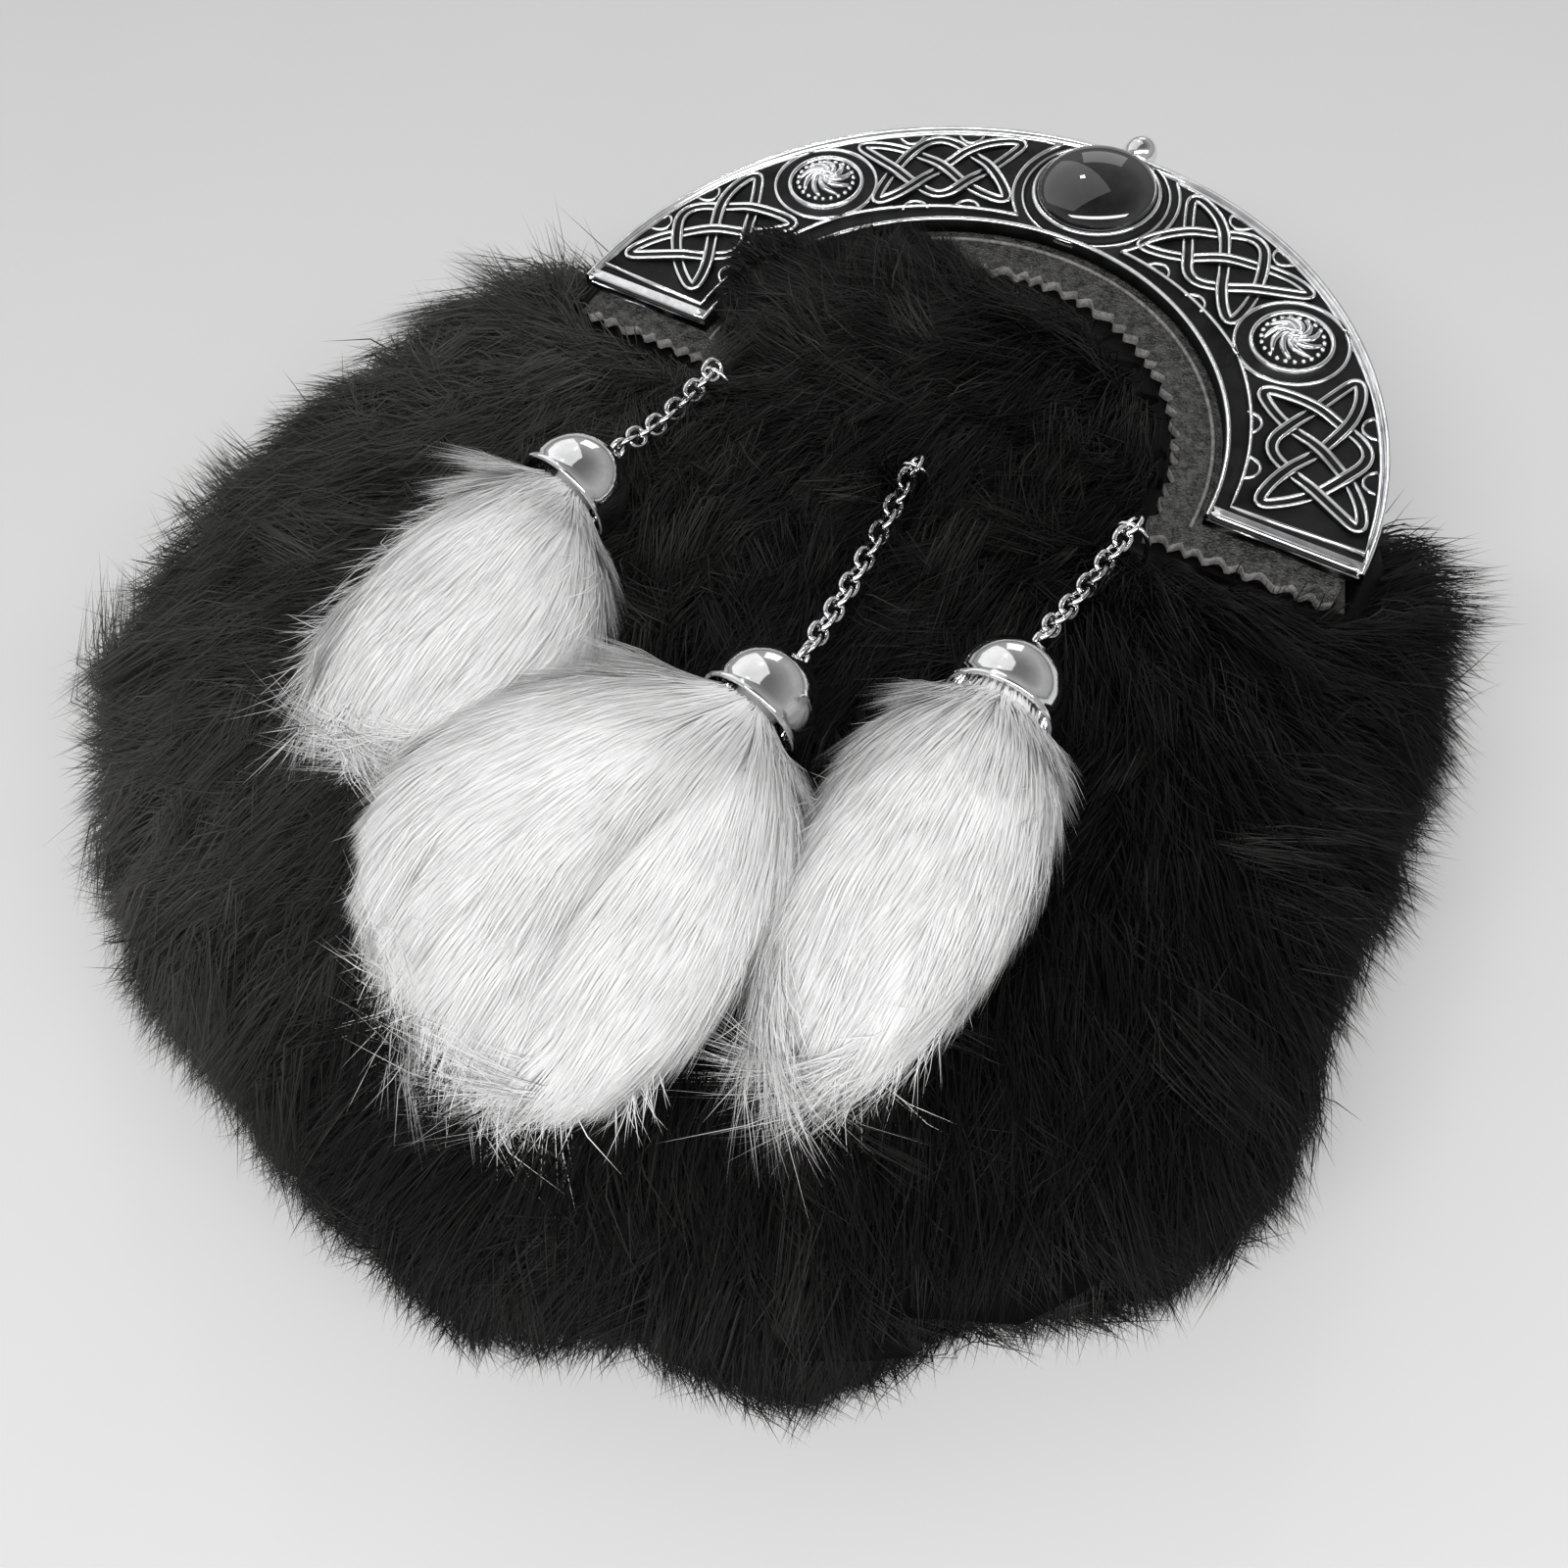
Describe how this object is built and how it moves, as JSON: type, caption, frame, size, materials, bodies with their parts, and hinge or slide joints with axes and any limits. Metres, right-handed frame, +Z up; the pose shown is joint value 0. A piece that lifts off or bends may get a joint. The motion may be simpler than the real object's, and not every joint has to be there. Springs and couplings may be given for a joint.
{
  "type": "sporran pouch",
  "caption": "Fur-fronted sporran pouch: hollow leather bag with a half-ring metal cantle, a domed stone, and white fur tassels on chains.",
  "frame": {"origin": "middle of the flat leather back's underside, where the pouch rests when it lies on its back", "axes": "+Z up out of the fur front, +Y towards the cantle and the mouth, +X to the right of someone who looks at the front"},
  "size_m": [0.2154, 0.2425, 0.0616],
  "materials": {
    "bag_leather": "black grained leather",
    "mount_leather": "dark grey grained leather with pinked edges",
    "black_fur": "black rabbit fur",
    "white_fur": "white rabbit fur",
    "cantle_metal": "bright plated casting with darkened recesses",
    "cap_metal": "bright plated",
    "chain_metal": "bright plated wire",
    "dark_stone": "polished dark cabochon"
  },
  "bodies": {
    "root": {"back_panel": "bag_leather", "belt_loop_left": "bag_leather", "belt_loop_right": "bag_leather", "cantle": "cantle_metal", "cantle_leather": "mount_leather", "chain_staple_left": "chain_metal", "chain_staple_middle": "chain_metal", "chain_staple_right": "chain_metal", "fur_front": "black_fur", "gusset": "bag_leather", "left_link_01": "chain_metal", "left_link_02": "chain_metal", "left_link_03": "chain_metal", "left_link_04": "chain_metal", "left_link_05": "chain_metal", "left_link_06": "chain_metal", "left_link_07": "chain_metal", "left_link_08": "chain_metal", "left_link_09": "chain_metal", "left_link_10": "chain_metal", "middle_link_01": "chain_metal", "middle_link_02": "chain_metal", "middle_link_03": "chain_metal", "middle_link_04": "chain_metal", "middle_link_05": "chain_metal", "middle_link_06": "chain_metal", "middle_link_07": "chain_metal", "middle_link_08": "chain_metal", "middle_link_09": "chain_metal", "middle_link_10": "chain_metal", "middle_link_11": "chain_metal", "middle_link_12": "chain_metal", "middle_link_13": "chain_metal", "middle_link_14": "chain_metal", "middle_link_15": "chain_metal", "right_link_01": "chain_metal", "right_link_02": "chain_metal", "right_link_03": "chain_metal", "right_link_04": "chain_metal", "right_link_05": "chain_metal", "right_link_06": "chain_metal", "right_link_07": "chain_metal", "right_link_08": "chain_metal", "right_link_09": "chain_metal", "right_link_10": "chain_metal", "right_link_11": "chain_metal", "stone": "dark_stone", "tassel_cap_left": "cap_metal", "tassel_cap_middle": "cap_metal", "tassel_cap_right": "cap_metal", "tassel_left": "white_fur", "tassel_middle": "white_fur", "tassel_right": "white_fur"}
  },
  "joints": []
}
